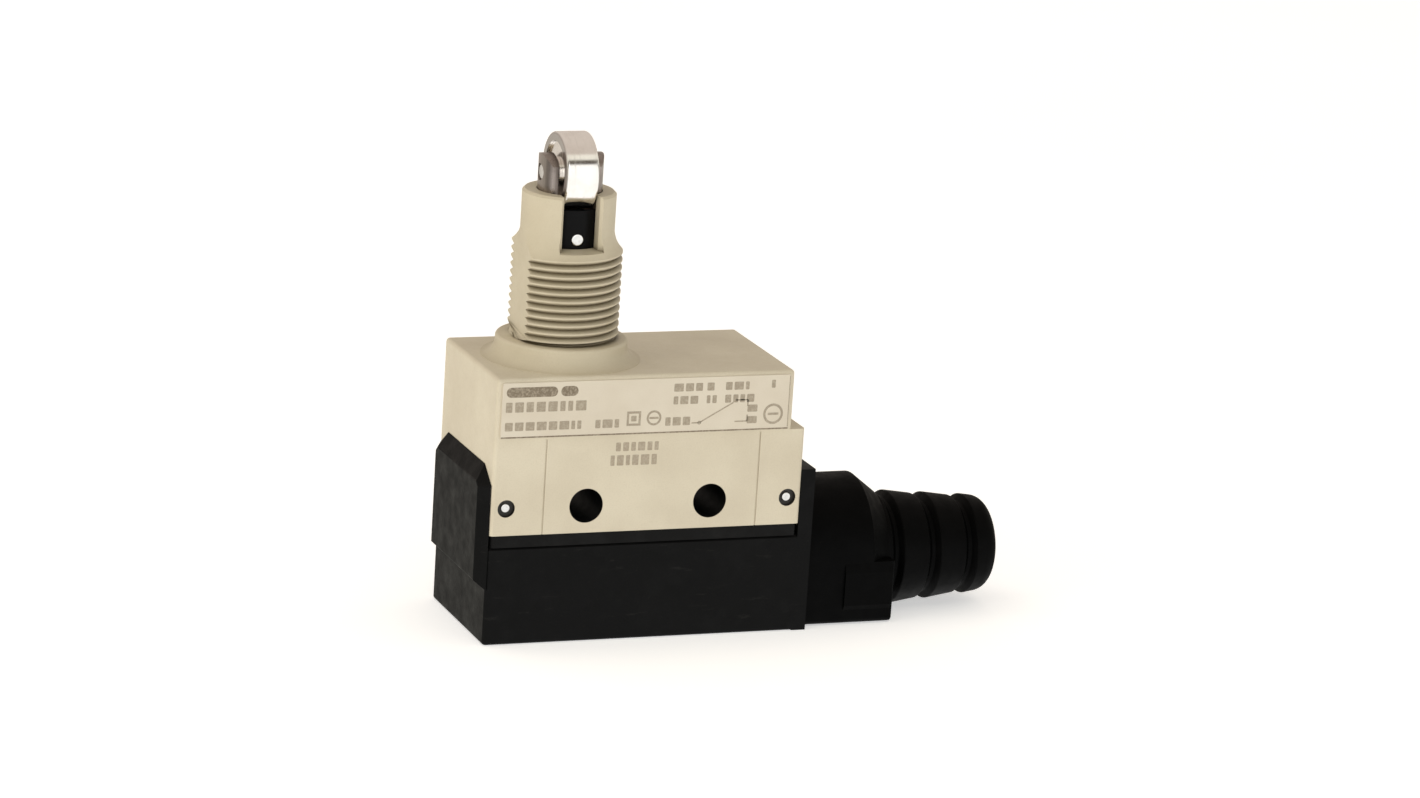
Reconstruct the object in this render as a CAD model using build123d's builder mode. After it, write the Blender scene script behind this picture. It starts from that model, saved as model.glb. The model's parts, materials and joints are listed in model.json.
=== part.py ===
"""Panel-mounting limit switch with a cross-roller plunger. All sizes are millimetres.

Frame: +X towards the cable boot, +Y to the back, +Z up along the plunger. The origin is on
the underside of the terminal cover, midway between the two mounting holes.
"""
import math
import os

from build123d import *

os.makedirs("parts", exist_ok=True)

# --- Case: one moulding, narrower above the ledge on its right ---
case_left = -20.1
case_right = 20.0
upper_right = 18.2
case_half_depth = 10.4
case_bottom = 13.9
ledge_height = 26.0
case_top = 33.5
wall = 1.8
corner_radius = 0.5
inner_left = case_left + wall
inner_half_depth = case_half_depth - wall
inner_top = case_top - wall

# --- Mounting holes and the pins that lock the terminal block ---
hole_spacing = 16.0
hole_radius = 2.15
hole_height = 17.3
tube_radius = 3.3
pin_offset = 18.2
pin_radius = 0.6
pin_recess_radius = 1.1
pin_recess_depth = 0.5

# --- Marking plate on the front ---
plate_left = -19.5
plate_right = 17.6
plate_bottom = 26.1
plate_top = 33.0
plate_thickness = 0.2

# --- Threaded barrel, M14 x 1, and its slotted head ---
axis_x = -8.7
plunger_axis = Axis((axis_x, 0, 0), (0, 0, 1))
boss_radius = 8.1
boss_top = 36.1
boss_rim_rounding = 0.4
boss_flare = 1.7
thread_radius = 6.9
thread_pitch = 1.0
thread_depth = 0.55
thread_bottom = 37.0
thread_turns = 10
thread_top = thread_bottom + thread_turns * thread_pitch
thread_flat = 5.75
flat_bottom = 36.9
head_radius = 5.75
head_flare_top = 49.4
head_top = 54.3
head_chamfer = 0.3
slot_half_width = 2.3
slot_bottom = 47.7
slot_chamfer = 0.5
spigot_radius = 4.95
barrel_bore_radius = 4.05
bush_bore_radius = 4.6
bush_bottom = 37.6
bush_top = 44.0
spring_seat = 34.0
stem_hole_radius = 2.75
seal_groove_radius = 5.0
seal_bottom = 45.2
seal_top = 46.6

# --- Plunger, fork and roller ---
plunger_radius = 3.95
plunger_bottom = 41.5
plunger_top = 50.0
lip_top = 52.4
lip_half_width = 2.3
lip_inner = 2.5
lip_clearance = 0.25
fork_slot_bottom = 51.3
fork_half_gap = 2.35
fork_top = 58.8
fork_shoulder = 57.5
fork_half_depth = 2.4
tang_half_width = 1.8
tang_bottom = 45.4
cross_pin_height = 48.8
cross_pin_radius = 0.8
roller_height = 56.5
roller_radius = 4.85
roller_width = 4.1
roller_pin_radius = 1.0
roller_pin_length = 7.5
stem_radius = 2.4
stem_bottom = 34.4
stem_bore_radius = 1.75
stem_bore_top = 41.2
stem_bush_top = 35.2
stem_bush_bore_radius = 1.1
push_rod_radius = 1.0
push_rod_head_radius = 1.6
push_rod_head_bottom = 35.4
push_rod_head_top = 36.6
button_top = 31.3

# --- Contact chamber ---
chamber_left = -17.0
chamber_right = 16.2
chamber_bottom = 20.95
chamber_top = 30.0
chamber_half_depth = 6.5
chamber_wall = 0.9
button_radius = 1.4
blade_top = 26.95
blade_thickness = 0.3
blade_half_width = 1.8
hinge_x = 12.2
bead_radius = 0.3
bead_height = blade_top - blade_thickness - bead_radius
contact_x = -13.8
contact_radius = 1.4

# --- Terminals, their block and screws ---
terminal_offset = 13.8
terminal_places = (-terminal_offset, 0.0, terminal_offset)
sheet = 0.8
strip_back = 5.4
strip_half_width = 1.4
tab_half_width = 3.1
tab_front = -3.4
block_bottom = 11.2
block_top = 20.8
block_half_depth = 8.4
block_left = -18.0
block_right = 17.9
screw_radius = 1.45
nut_side = 5.4
nut_bottom = 12.2
nut_height = 1.8

# --- Terminal cover, its ears and the gasket ---
cover_left = -20.2
cover_right = 21.9
cover_half_depth = 10.1
cover_rim = 12.3
cover_floor = 1.6
ear_outer = -21.3
ear_inner = -20.15
right_ear_inner = 20.05
right_ear_top = 20.7
gasket_inset = 0.25
window_half_width = 6.1
window_bottom = 2.3
window_top = 12.0

# --- Cable boot ---
boot_height = 7.2
boot_block_left = 21.95
boot_block_right = 34.0
boot_block_half_width = 9.0
boot_arch_height = 8.0
boot_slope_length = 2.9
boot_slope_depth = 2.3
boot_pad_left = 27.3
boot_pad_depth = 0.3
boot_end = 49.6
boot_base_radius = 7.2
boot_end_radius = 5.9
cable_bore_radius = 3.6
first_rib = 35.0
rib_spacing = 5.2
rib_count = 3
ring_groove_depth = 0.7
ring_rounding = 0.22


def span(low, high):
    """Middle and length of a stretch."""
    return (low + high) / 2, high - low


def write(part, name):
    """Label a finished piece and write its STEP file."""
    part.label = name
    export_step(part, f"parts/{name}.step")


# ---------------------------------------------------------------- case
with BuildPart() as case:
    with BuildSketch(Plane.XZ):
        with BuildLine():
            Polyline(
                (case_left, case_bottom),
                (case_right, case_bottom),
                (case_right, ledge_height),
                (upper_right, ledge_height),
                (upper_right, case_top),
                (case_left, case_top),
                close=True,
            )
        make_face()
    extrude(amount=case_half_depth, both=True)
    fillet(case.edges().filter_by(Axis.Z), radius=corner_radius)
    fillet(case.faces().sort_by(Axis.Z)[-1].edges(), radius=corner_radius)
    # The hollow, open at the bottom
    with BuildSketch(Plane.XZ):
        with BuildLine():
            Polyline(
                (inner_left, case_bottom),
                (case_right - wall, case_bottom),
                (case_right - wall, ledge_height - wall),
                (upper_right - wall, ledge_height - wall),
                (upper_right - wall, inner_top),
                (inner_left, inner_top),
                close=True,
            )
        make_face()
    extrude(amount=inner_half_depth, both=True, mode=Mode.SUBTRACT)
    # Tubes for the mounting bolts, from front to back
    with BuildSketch(Plane.XZ):
        with Locations((-hole_spacing / 2, hole_height), (hole_spacing / 2, hole_height)):
            Circle(tube_radius)
    extrude(amount=inner_half_depth + wall / 2, both=True)
    with BuildSketch(Plane.XZ):
        with Locations((-hole_spacing / 2, hole_height), (hole_spacing / 2, hole_height)):
            Circle(hole_radius)
    extrude(amount=case_half_depth, both=True, mode=Mode.SUBTRACT)
    # Holes for the case pins, recessed at both ends
    with BuildSketch(Plane.XZ):
        with Locations((-pin_offset, hole_height), (pin_offset, hole_height)):
            Circle(pin_radius + 0.02)
    extrude(amount=case_half_depth, both=True, mode=Mode.SUBTRACT)
    for face_plane in (Plane.XZ.offset(case_half_depth), Plane.ZX.offset(case_half_depth)):
        with BuildSketch(face_plane):
            for x in (-pin_offset, pin_offset):
                place = face_plane.to_local_coords(Vector(x, 0, hole_height))
                with Locations((place.X, place.Y)):
                    Circle(pin_recess_radius)
        extrude(amount=-pin_recess_depth, mode=Mode.SUBTRACT)
    # Shallow vertical lines that frame the middle of the front
    line_width = 0.2
    line_depth = 0.12
    line_centre, line_length = span(case_bottom, ledge_height - 0.2)
    with BuildSketch(Plane.XZ.offset(case_half_depth)):
        with Locations((-13.5, line_centre), (14.1, line_centre)):
            Rectangle(line_width, line_length)
    extrude(amount=-line_depth, mode=Mode.SUBTRACT)
    # Hole in the roof for the barrel
    with BuildSketch(Plane.XY.offset(inner_top)):
        with Locations((axis_x, 0)):
            Circle(spigot_radius + 0.03)
    extrude(amount=wall, mode=Mode.SUBTRACT)
write(case.part, "case")

with BuildPart() as case_pins:
    pin_length = 2 * (case_half_depth - 0.25)
    with BuildSketch(Plane.XZ.offset(-pin_length / 2)):
        with Locations((-pin_offset, hole_height), (pin_offset, hole_height)):
            Circle(pin_radius)
    extrude(amount=pin_length)
    fillet(case_pins.edges().filter_by(GeomType.CIRCLE), radius=0.2)
write(case_pins.part, "case_pins")

with BuildPart() as marking_plate:
    plate_x, plate_width = span(plate_left, plate_right)
    plate_z, plate_height = span(plate_bottom, plate_top)
    with BuildSketch(Plane.XZ.offset(case_half_depth)):
        with Locations((plate_x, plate_z)):
            RectangleRounded(plate_width, plate_height, 0.3)
    extrude(amount=plate_thickness)
write(marking_plate.part, "marking_plate")

# ---------------------------------------------------------------- threaded barrel
with BuildPart() as threaded_barrel:
    crest_half = 0.1
    root_radius = thread_radius - thread_depth
    lip = 0.05
    boss_side = axis_x + boss_radius
    flare_edge = boss_side + boss_flare
    flare_middle = boss_flare * (1 - math.sqrt(0.5))
    rim_middle = boss_rim_rounding * (1 - math.sqrt(0.5))
    with BuildSketch(Plane.XZ):
        with BuildLine():
            Polyline(
                (axis_x, inner_top + 0.1),
                (axis_x + spigot_radius, inner_top + 0.1),
                (axis_x + spigot_radius, case_top),
                (flare_edge, case_top),
                (flare_edge, case_top + lip),
            )
            # The boss flares out into the case, and its rim is rounded
            ThreePointArc(
                (flare_edge, case_top + lip),
                (boss_side + flare_middle, case_top + lip + flare_middle),
                (boss_side, case_top + lip + boss_flare),
            )
            Line((boss_side, case_top + lip + boss_flare), (boss_side, boss_top - boss_rim_rounding))
            ThreePointArc(
                (boss_side, boss_top - boss_rim_rounding),
                (boss_side - rim_middle, boss_top - rim_middle),
                (boss_side - boss_rim_rounding, boss_top),
            )
            thread_outline = [
                (boss_side - boss_rim_rounding, boss_top),
                (axis_x + root_radius + 0.15, boss_top + 0.1),
                (axis_x + root_radius, boss_top + 0.25),
                (axis_x + root_radius, thread_bottom - thread_pitch / 2 + crest_half),
            ]
            for turn in range(thread_turns):
                z = thread_bottom + turn * thread_pitch
                thread_outline.append((axis_x + thread_radius, z - crest_half))
                thread_outline.append((axis_x + thread_radius, z + crest_half))
                thread_outline.append((axis_x + root_radius, z + thread_pitch / 2))
            thread_outline += [
                (axis_x + thread_radius, thread_top - crest_half),
                (axis_x + thread_radius, thread_top + crest_half),
            ]
            Polyline(*thread_outline)
            # The shoulder above the thread curves in to the head
            shoulder_bottom = thread_top + crest_half
            shoulder_bend = (
                (2 * head_radius + thread_radius) / 3,
                shoulder_bottom + 0.45 * (head_flare_top - shoulder_bottom),
            )
            ThreePointArc(
                (axis_x + thread_radius, shoulder_bottom),
                (axis_x + shoulder_bend[0], shoulder_bend[1]),
                (axis_x + head_radius, head_flare_top),
            )
            Polyline(
                (axis_x + head_radius, head_flare_top),
                (axis_x + head_radius, head_top - head_chamfer),
                (axis_x + head_radius - head_chamfer, head_top),
                (axis_x, head_top),
                (axis_x, inner_top + 0.1),
            )
        make_face()
    revolve(axis=plunger_axis)
    # Bore: stem hole, spring and bush chamber, seal groove and plunger bore
    with BuildSketch(Plane.XZ):
        with BuildLine():
            Polyline(
                (axis_x, inner_top),
                (axis_x + stem_hole_radius, inner_top),
                (axis_x + stem_hole_radius, spring_seat),
                (axis_x + bush_bore_radius, spring_seat),
                (axis_x + bush_bore_radius, bush_top),
                (axis_x + barrel_bore_radius, bush_top),
                (axis_x + barrel_bore_radius, seal_bottom),
                (axis_x + seal_groove_radius, seal_bottom),
                (axis_x + seal_groove_radius, seal_top),
                (axis_x + barrel_bore_radius, seal_top),
                (axis_x + barrel_bore_radius, head_top),
                (axis_x, head_top),
                close=True,
            )
        make_face()
    revolve(axis=plunger_axis, mode=Mode.SUBTRACT)
    # Slot through the head from front to back, which the roller drops into
    slot_z, slot_height = span(slot_bottom, head_top)
    with BuildSketch(Plane.XZ):
        with Locations((axis_x, slot_z)):
            Rectangle(2 * slot_half_width, slot_height)
    extrude(amount=boss_radius, both=True, mode=Mode.SUBTRACT)
    # The slot's upright outer corners are cut back
    corner_reach = math.sqrt(head_radius**2 - slot_half_width**2)
    with BuildSketch(Plane.XY.offset(slot_bottom)):
        for side in (-1, 1):
            with BuildLine():
                Polyline(
                    (axis_x - slot_half_width, side * (corner_reach - slot_chamfer)),
                    (axis_x - slot_half_width - slot_chamfer, side * corner_reach),
                    (axis_x - slot_half_width - slot_chamfer, side * boss_radius),
                    (axis_x + slot_half_width + slot_chamfer, side * boss_radius),
                    (axis_x + slot_half_width + slot_chamfer, side * corner_reach),
                    (axis_x + slot_half_width, side * (corner_reach - slot_chamfer)),
                    close=True,
                )
            make_face()
    extrude(amount=head_top - slot_bottom, mode=Mode.SUBTRACT)
    # One flat along the thread, which stops the barrel turning in its panel
    with BuildSketch(Plane.XZ):
        with BuildLine():
            Polyline(
                (axis_x - thread_flat, flat_bottom),
                (axis_x - thread_flat, head_flare_top),
                (axis_x - boss_radius, head_flare_top),
                (axis_x - boss_radius, boss_top + 0.2),
                (axis_x - root_radius, boss_top + 0.2),
                close=True,
            )
        make_face()
    extrude(amount=boss_radius, both=True, mode=Mode.SUBTRACT)
write(threaded_barrel.part, "threaded_barrel")

with BuildPart() as guide_bush:
    with BuildSketch(Plane.XY.offset(bush_bottom)):
        with Locations((axis_x, 0)):
            Circle(bush_bore_radius - 0.02)
            Circle(plunger_radius + 0.05, mode=Mode.SUBTRACT)
    extrude(amount=bush_top - bush_bottom - 0.02)
    chamfer(guide_bush.edges().filter_by(GeomType.CIRCLE).group_by(Axis.Z)[0], length=0.15)
write(guide_bush.part, "guide_bush")

with BuildPart() as plunger_seal:
    seal_z, seal_height = span(seal_bottom + 0.05, seal_top - 0.05)
    seal_inner = plunger_radius + 0.03
    seal_x, seal_width = span(axis_x + seal_inner, axis_x + seal_groove_radius - 0.02)
    with BuildSketch(Plane.XZ):
        with Locations((seal_x, seal_z)):
            RectangleRounded(seal_width, seal_height, 0.4)
    revolve(axis=plunger_axis)
write(plunger_seal.part, "plunger_seal")

# ---------------------------------------------------------------- plunger and roller
with BuildPart() as plunger_body:
    with BuildSketch(Plane.XY.offset(plunger_bottom)):
        with Locations((axis_x, 0)):
            Circle(plunger_radius)
    extrude(amount=plunger_top - plunger_bottom)
    with BuildSketch(Plane.XY.offset(stem_bottom)):
        with Locations((axis_x, 0)):
            Circle(stem_radius)
    extrude(amount=plunger_bottom - stem_bottom)
    # Bore for the overtravel spring
    with BuildSketch(Plane.XY.offset(stem_bottom)):
        with Locations((axis_x, 0)):
            Circle(stem_bore_radius)
    extrude(amount=stem_bore_top - stem_bottom, mode=Mode.SUBTRACT)
    # Lips before and behind the roller, which close the head's slot
    with BuildSketch(Plane.XY.offset(plunger_top)):
        with Locations((axis_x, 0)):
            Circle(plunger_radius)
            Rectangle(2 * lip_half_width, 2 * plunger_radius, mode=Mode.INTERSECT)
            Rectangle(2 * lip_half_width, 2 * lip_inner, mode=Mode.SUBTRACT)
    extrude(amount=lip_top - plunger_top)
    with BuildSketch(Plane.YZ.offset(axis_x)):
        with Locations((0, roller_height)):
            Circle(roller_radius + lip_clearance)
    extrude(amount=plunger_radius, both=True, mode=Mode.SUBTRACT)
    # Socket for the fork's tang
    with BuildSketch(Plane.XY.offset(tang_bottom - 0.1)):
        with Locations((axis_x, 0)):
            Rectangle(2 * tang_half_width + 0.06, 2 * tang_half_width + 0.06)
    extrude(amount=plunger_top - tang_bottom + 0.1, mode=Mode.SUBTRACT)
    with BuildSketch(Plane.XZ):
        with Locations((axis_x, cross_pin_height)):
            Circle(cross_pin_radius + 0.02)
    extrude(amount=plunger_radius, both=True, mode=Mode.SUBTRACT)
write(plunger_body.part, "plunger_body")

with BuildPart() as plunger_fork:
    with BuildSketch(Plane.XY.offset(plunger_top)):
        with Locations((axis_x, 0)):
            Circle(plunger_radius)
    extrude(amount=fork_top - plunger_top)
    # Two arms with rounded tops, on a round web
    with BuildSketch(Plane.YZ.offset(axis_x - boss_radius)):
        with BuildLine():
            Polyline(
                (fork_half_depth, fork_shoulder),
                (fork_half_depth, fork_slot_bottom),
                (plunger_radius, fork_slot_bottom),
                (plunger_radius, plunger_top),
                (-plunger_radius, plunger_top),
                (-plunger_radius, fork_slot_bottom),
                (-fork_half_depth, fork_slot_bottom),
                (-fork_half_depth, fork_shoulder),
            )
            ThreePointArc((-fork_half_depth, fork_shoulder), (0, fork_top), (fork_half_depth, fork_shoulder))
        make_face()
    extrude(amount=2 * boss_radius, mode=Mode.INTERSECT)
    # Gap for the roller
    gap_z, gap_height = span(fork_slot_bottom, fork_top)
    with BuildSketch(Plane.XZ):
        with Locations((axis_x, gap_z)):
            Rectangle(2 * fork_half_gap, gap_height)
    extrude(amount=boss_radius, both=True, mode=Mode.SUBTRACT)
    # Room for the plunger body's lips
    lip_room = lip_inner - 0.02
    lip_y, lip_depth = span(lip_room, plunger_radius)
    with BuildSketch(Plane.XY.offset(plunger_top)):
        with Locations((axis_x, -lip_y), (axis_x, lip_y)):
            Rectangle(2 * lip_half_width + 0.04, lip_depth)
    extrude(amount=fork_slot_bottom - plunger_top, mode=Mode.SUBTRACT)
    # Tang that the cross pin holds in the plunger body
    with BuildSketch(Plane.XY.offset(tang_bottom)):
        with Locations((axis_x, 0)):
            Rectangle(2 * tang_half_width, 2 * tang_half_width)
    extrude(amount=plunger_top - tang_bottom)
    with BuildSketch(Plane.YZ.offset(axis_x)):
        with Locations((0, roller_height)):
            Circle(roller_pin_radius + 0.02)
    extrude(amount=boss_radius, both=True, mode=Mode.SUBTRACT)
    with BuildSketch(Plane.XZ):
        with Locations((axis_x, cross_pin_height)):
            Circle(cross_pin_radius + 0.02)
    extrude(amount=plunger_radius, both=True, mode=Mode.SUBTRACT)
write(plunger_fork.part, "plunger_fork")

with BuildPart() as cross_pin:
    cross_pin_half = plunger_radius - 0.05
    with BuildSketch(Plane.XZ):
        with Locations((axis_x, cross_pin_height)):
            Circle(cross_pin_radius)
    extrude(amount=cross_pin_half, both=True)
    fillet(cross_pin.edges().filter_by(GeomType.CIRCLE), radius=0.2)
write(cross_pin.part, "cross_pin")

with BuildPart() as roller_pin:
    with BuildSketch(Plane.YZ.offset(axis_x)):
        with Locations((0, roller_height)):
            Circle(roller_pin_radius)
    extrude(amount=roller_pin_length / 2, both=True)
    fillet(roller_pin.edges().filter_by(GeomType.CIRCLE), radius=0.2)
write(roller_pin.part, "roller_pin")

with BuildPart() as roller:
    with BuildSketch(Plane.YZ.offset(axis_x)):
        with Locations((0, roller_height)):
            Circle(roller_radius)
            Circle(roller_pin_radius + 0.05, mode=Mode.SUBTRACT)
    extrude(amount=roller_width / 2, both=True)
    fillet(roller.edges().filter_by(GeomType.CIRCLE).sort_by(SortBy.RADIUS)[-2:], radius=0.3)
    # Shallow dish in each side
    for side in (-1, 1):
        with BuildSketch(Plane.YZ.offset(axis_x + side * roller_width / 2)):
            with Locations((0, roller_height)):
                Circle(roller_radius - 1.1)
                Circle(roller_pin_radius + 0.8, mode=Mode.SUBTRACT)
        extrude(amount=-side * 0.35, mode=Mode.SUBTRACT)
write(roller.part, "roller")

with BuildPart() as stem_bush:
    with BuildSketch(Plane.XY.offset(stem_bottom)):
        with Locations((axis_x, 0)):
            Circle(stem_bore_radius - 0.01)
            Circle(stem_bush_bore_radius, mode=Mode.SUBTRACT)
    extrude(amount=stem_bush_top - stem_bottom)
write(stem_bush.part, "stem_bush")

with BuildPart() as push_rod:
    with BuildSketch(Plane.XY.offset(button_top)):
        with Locations((axis_x, 0)):
            Circle(push_rod_radius)
    extrude(amount=push_rod_head_bottom - button_top)
    with BuildSketch(Plane.XY.offset(push_rod_head_bottom)):
        with Locations((axis_x, 0)):
            Circle(push_rod_head_radius)
    extrude(amount=push_rod_head_top - push_rod_head_bottom)
write(push_rod.part, "push_rod")


def coil_spring(bottom, top, coil_radius, wire_radius, turns):
    """Round-wire coil spring about the plunger's axis, between two heights."""
    rise = top - bottom - 2 * wire_radius
    with BuildPart() as spring:
        with BuildLine() as wire_path:
            Helix(rise / turns, rise, coil_radius, center=(axis_x, 0, bottom + wire_radius))
        with BuildSketch(Plane(wire_path.line @ 0, z_dir=wire_path.line % 0)):
            Circle(wire_radius)
        sweep(path=wire_path.line, is_frenet=True)
    return spring.part


write(coil_spring(spring_seat + 0.05, plunger_bottom - 0.05, 3.25, 0.25, 5.5), "return_spring")
write(coil_spring(push_rod_head_top + 0.05, stem_bore_top - 0.05, 1.3, 0.15, 5), "overtravel_spring")

# ---------------------------------------------------------------- contact chamber
with BuildPart() as contact_housing:
    housing_x, housing_length = span(chamber_left, chamber_right)
    with BuildSketch(Plane.XY.offset(chamber_bottom)):
        with Locations((housing_x, 0)):
            Rectangle(housing_length, 2 * chamber_half_depth)
    extrude(amount=chamber_top - chamber_bottom)
    fillet(contact_housing.edges().filter_by(Axis.Z), radius=0.6)
    with BuildSketch(Plane.XY.offset(chamber_bottom)):
        with Locations((housing_x, 0)):
            Rectangle(housing_length - 2 * chamber_wall, 2 * (chamber_half_depth - chamber_wall))
    extrude(amount=chamber_top - chamber_bottom - chamber_wall, mode=Mode.SUBTRACT)
    with BuildSketch(Plane.XY.offset(chamber_top)):
        with Locations((axis_x, 0)):
            Circle(button_radius + 0.08)
    extrude(amount=-2 * chamber_wall, mode=Mode.SUBTRACT)
write(contact_housing.part, "contact_housing")

with BuildPart() as switch_button:
    button_levels = ((27.15, 0.8, 0.75), (27.9, 2.1, 0.7), (28.6, button_radius, button_top - 28.6))
    for level, radius, height in button_levels:
        with BuildSketch(Plane.XY.offset(level)):
            with Locations((axis_x, 0)):
                Circle(radius)
        extrude(amount=height)
write(switch_button.part, "switch_button")

with BuildPart() as snap_blade:
    blade_x, blade_length = span(contact_x - 1.6, hinge_x + 1.2)
    with BuildSketch(Plane.XY.offset(blade_top - blade_thickness)):
        with Locations((blade_x, 0)):
            RectangleRounded(blade_length, 2 * blade_half_width, 0.5)
        with Locations((contact_x, 0)):
            Circle(0.72, mode=Mode.SUBTRACT)
        with Locations((4.5, 0)):
            SlotOverall(9.0, 1.4, mode=Mode.SUBTRACT)
    extrude(amount=blade_thickness)
write(snap_blade.part, "snap_blade")

contact_head = 0.55
with BuildPart() as moving_contact:
    for level, height, radius in (
        (blade_top, contact_head, contact_radius),
        (blade_top - blade_thickness, blade_thickness, 0.7),
        (blade_top - blade_thickness - contact_head, contact_head, contact_radius),
    ):
        with BuildSketch(Plane.XY.offset(level)):
            with Locations((contact_x, 0)):
                Circle(radius)
        extrude(amount=height)
write(moving_contact.part, "moving_contact")

closed_contact_bottom = blade_top + contact_head + 0.1
closed_plate_bottom = 28.2
open_contact_top = 24.95
open_plate_top = 24.3
with BuildPart() as fixed_contacts:
    for bottom, top in ((closed_contact_bottom, closed_plate_bottom), (open_plate_top, open_contact_top)):
        with BuildSketch(Plane.XY.offset(bottom)):
            with Locations((contact_x, 0)):
                Circle(contact_radius)
        extrude(amount=top - bottom)
write(fixed_contacts.part, "fixed_contacts")

with BuildPart() as tension_spring:
    spring_centre = (hinge_x - 3.2, 26.3)
    with BuildSketch(Plane.XZ):
        with Locations(spring_centre):
            Circle(2.1)
            Circle(1.9, mode=Mode.SUBTRACT)
        with Locations((spring_centre[0], spring_centre[1] + 2.0)):
            Rectangle(6, 4, mode=Mode.SUBTRACT)
    extrude(amount=1.1, both=True)
write(tension_spring.part, "tension_spring")


def terminal(centre_x, strip_top):
    """Screw tab under the block and the strip that rises behind its screw."""
    with BuildPart() as blank:
        tab_y, tab_length = span(tab_front, strip_back)
        with BuildSketch(Plane.XY.offset(block_bottom - sheet)):
            with Locations((centre_x, tab_y)):
                Rectangle(2 * tab_half_width, tab_length)
            with Locations((centre_x, 0)):
                Circle(screw_radius + 0.15, mode=Mode.SUBTRACT)
        extrude(amount=sheet)
        with BuildSketch(Plane.XY.offset(block_bottom)):
            with Locations((centre_x, strip_back - sheet / 2)):
                Rectangle(2 * strip_half_width, sheet)
        extrude(amount=strip_top - block_bottom)
    return blank.part


def contact_plate(left, right, front, top):
    """Flat plate from the strip's back face forwards, under the given height."""
    plate_mid_x, plate_span_x = span(left, right)
    plate_mid_y, plate_span_y = span(front, strip_back)
    with BuildPart() as plate:
        with BuildSketch(Plane.XY.offset(top - sheet + 0.1)):
            with Locations((plate_mid_x, plate_mid_y)):
                Rectangle(plate_span_x, plate_span_y)
        extrude(amount=sheet - 0.1)
    return plate.part


with BuildPart() as open_terminal:
    add(terminal(-terminal_offset, open_plate_top))
    add(contact_plate(contact_x - strip_half_width, contact_x + strip_half_width, -1.6, open_plate_top))
write(open_terminal.part, "open_terminal")

with BuildPart() as closed_terminal:
    closed_plate_top = closed_plate_bottom + sheet - 0.1
    add(terminal(0, closed_plate_top))
    add(contact_plate(contact_x - strip_half_width, strip_half_width, strip_back - sheet, closed_plate_top))
    add(contact_plate(contact_x - strip_half_width, contact_x + strip_half_width, -1.6, closed_plate_top))
write(closed_terminal.part, "closed_terminal")

with BuildPart() as common_terminal:
    common_plate_top = 26.0
    add(terminal(terminal_offset, common_plate_top))
    add(contact_plate(hinge_x - 0.6, terminal_offset + strip_half_width, -blade_half_width, common_plate_top))
    # Round bead that the blade rocks on
    with BuildSketch(Plane.XZ):
        with Locations((hinge_x, bead_height)):
            Circle(bead_radius)
        bead_foot_z, bead_foot_height = span(common_plate_top - 0.2, bead_height)
        with Locations((hinge_x, bead_foot_z)):
            Rectangle(2 * bead_radius, bead_foot_height)
    extrude(amount=blade_half_width - 0.2, both=True)
write(common_terminal.part, "common_terminal")

# ---------------------------------------------------------------- terminal block and screws
with BuildPart() as terminal_block:
    block_x, block_length = span(block_left, block_right)
    with BuildSketch(Plane.XY.offset(block_bottom)):
        with Locations((block_x, 0)):
            Rectangle(block_length, 2 * block_half_depth)
    extrude(amount=block_top - block_bottom)
    # Slots that pass over the mounting tubes
    slot_radius = tube_radius + 0.15
    tube_slot_z, tube_slot_height = span(hole_height, block_top)
    with BuildSketch(Plane.XZ):
        with Locations((-hole_spacing / 2, hole_height), (hole_spacing / 2, hole_height)):
            Circle(slot_radius)
        with Locations((-hole_spacing / 2, tube_slot_z), (hole_spacing / 2, tube_slot_z)):
            Rectangle(2 * slot_radius, tube_slot_height)
    extrude(amount=block_half_depth, both=True, mode=Mode.SUBTRACT)
    # Grooves that the case pins lock into
    with BuildSketch(Plane.XZ):
        with Locations((-pin_offset, hole_height), (pin_offset, hole_height)):
            Circle(pin_radius + 0.05)
    extrude(amount=block_half_depth, both=True, mode=Mode.SUBTRACT)
    # Slots for the terminal strips, screw holes and nut pockets
    with BuildSketch(Plane.XY.offset(block_bottom)):
        with Locations(*[(x, strip_back - sheet / 2) for x in terminal_places]):
            Rectangle(2 * strip_half_width + 0.1, sheet + 0.1)
    extrude(amount=block_top - block_bottom, mode=Mode.SUBTRACT)
    with BuildSketch(Plane.XY.offset(block_bottom)):
        with Locations(*[(x, 0) for x in terminal_places]):
            Circle(screw_radius + 0.1)
    extrude(amount=6.0, mode=Mode.SUBTRACT)
    pocket_y, pocket_length = span(-block_half_depth, nut_side / 2 + 0.05)
    with BuildSketch(Plane.XY.offset(nut_bottom - 0.05)):
        with Locations(*[(x, pocket_y) for x in terminal_places]):
            Rectangle(nut_side + 0.1, pocket_length)
    extrude(amount=nut_height + 0.1, mode=Mode.SUBTRACT)
write(terminal_block.part, "terminal_block")

with BuildPart() as terminal_nuts:
    with BuildSketch(Plane.XY.offset(nut_bottom)):
        with Locations(*[(x, 0) for x in terminal_places]):
            Rectangle(nut_side, nut_side)
            Circle(screw_radius + 0.03, mode=Mode.SUBTRACT)
    extrude(amount=nut_height)
write(terminal_nuts.part, "terminal_nuts")

washer_top = block_bottom - sheet
washer_thickness = 0.5
washer_bottom = washer_top - washer_thickness
with BuildPart() as terminal_washers:
    with BuildSketch(Plane.XY.offset(washer_bottom)):
        with Locations(*[(x, 0) for x in terminal_places]):
            Rectangle(5.8, 5.8)
            Circle(screw_radius + 0.15, mode=Mode.SUBTRACT)
    extrude(amount=washer_thickness)
write(terminal_washers.part, "terminal_washers")

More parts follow.
